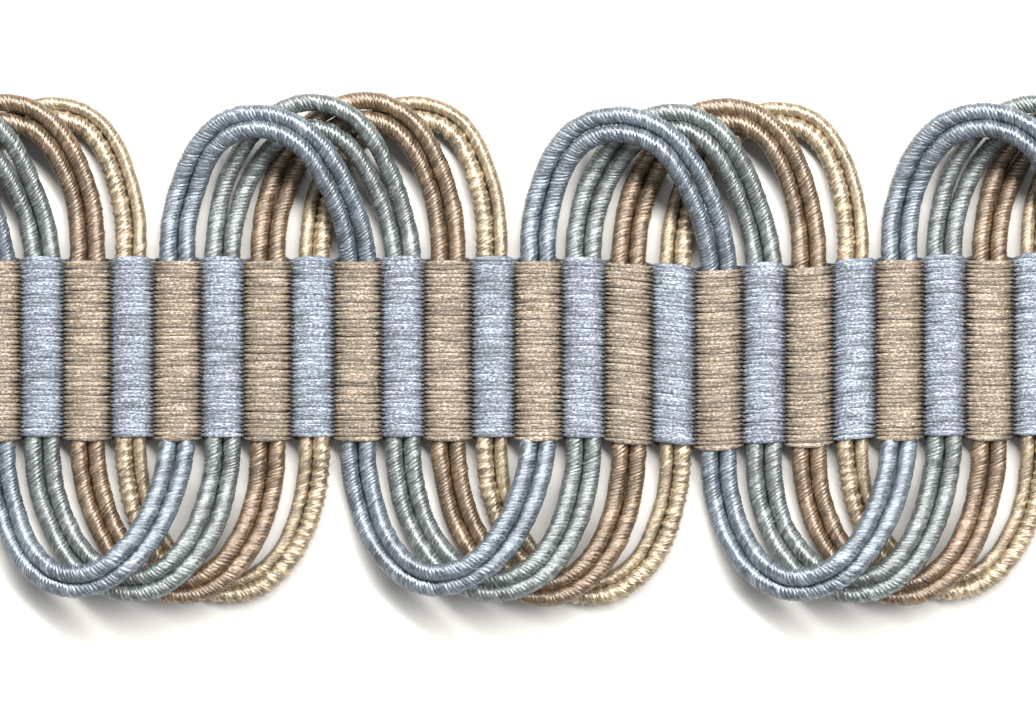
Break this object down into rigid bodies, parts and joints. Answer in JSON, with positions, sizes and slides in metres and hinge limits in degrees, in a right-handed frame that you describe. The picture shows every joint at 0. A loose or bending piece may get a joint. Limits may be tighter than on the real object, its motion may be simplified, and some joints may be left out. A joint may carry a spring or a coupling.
{
  "type": "loop gimp braid trimming",
  "caption": "Narrow woven furnishing braid whose coloured gimp cord pairs loop out above and below the band in overlapping scallops.",
  "frame": {"origin": "middle of the outline at the braid's back face, where it lies on the surface", "axes": "+X along the braid, +Y across it, +Z out of its face"},
  "size_m": [0.142, 0.0502, 0.0071],
  "materials": {
    "woven_yarn": "satin",
    "blue_gimp": "satin",
    "grey_gimp": "satin",
    "brown_gimp": "satin",
    "cream_gimp": "satin"
  },
  "bodies": {
    "root": {"woven_band": "woven_yarn", "blue_cord_1": "blue_gimp", "blue_cord_2": "blue_gimp", "grey_cord_1": "grey_gimp", "grey_cord_2": "grey_gimp", "brown_cord_1": "brown_gimp", "brown_cord_2": "brown_gimp", "cream_cord_1": "cream_gimp", "cream_cord_2": "cream_gimp"}
  },
  "joints": []
}
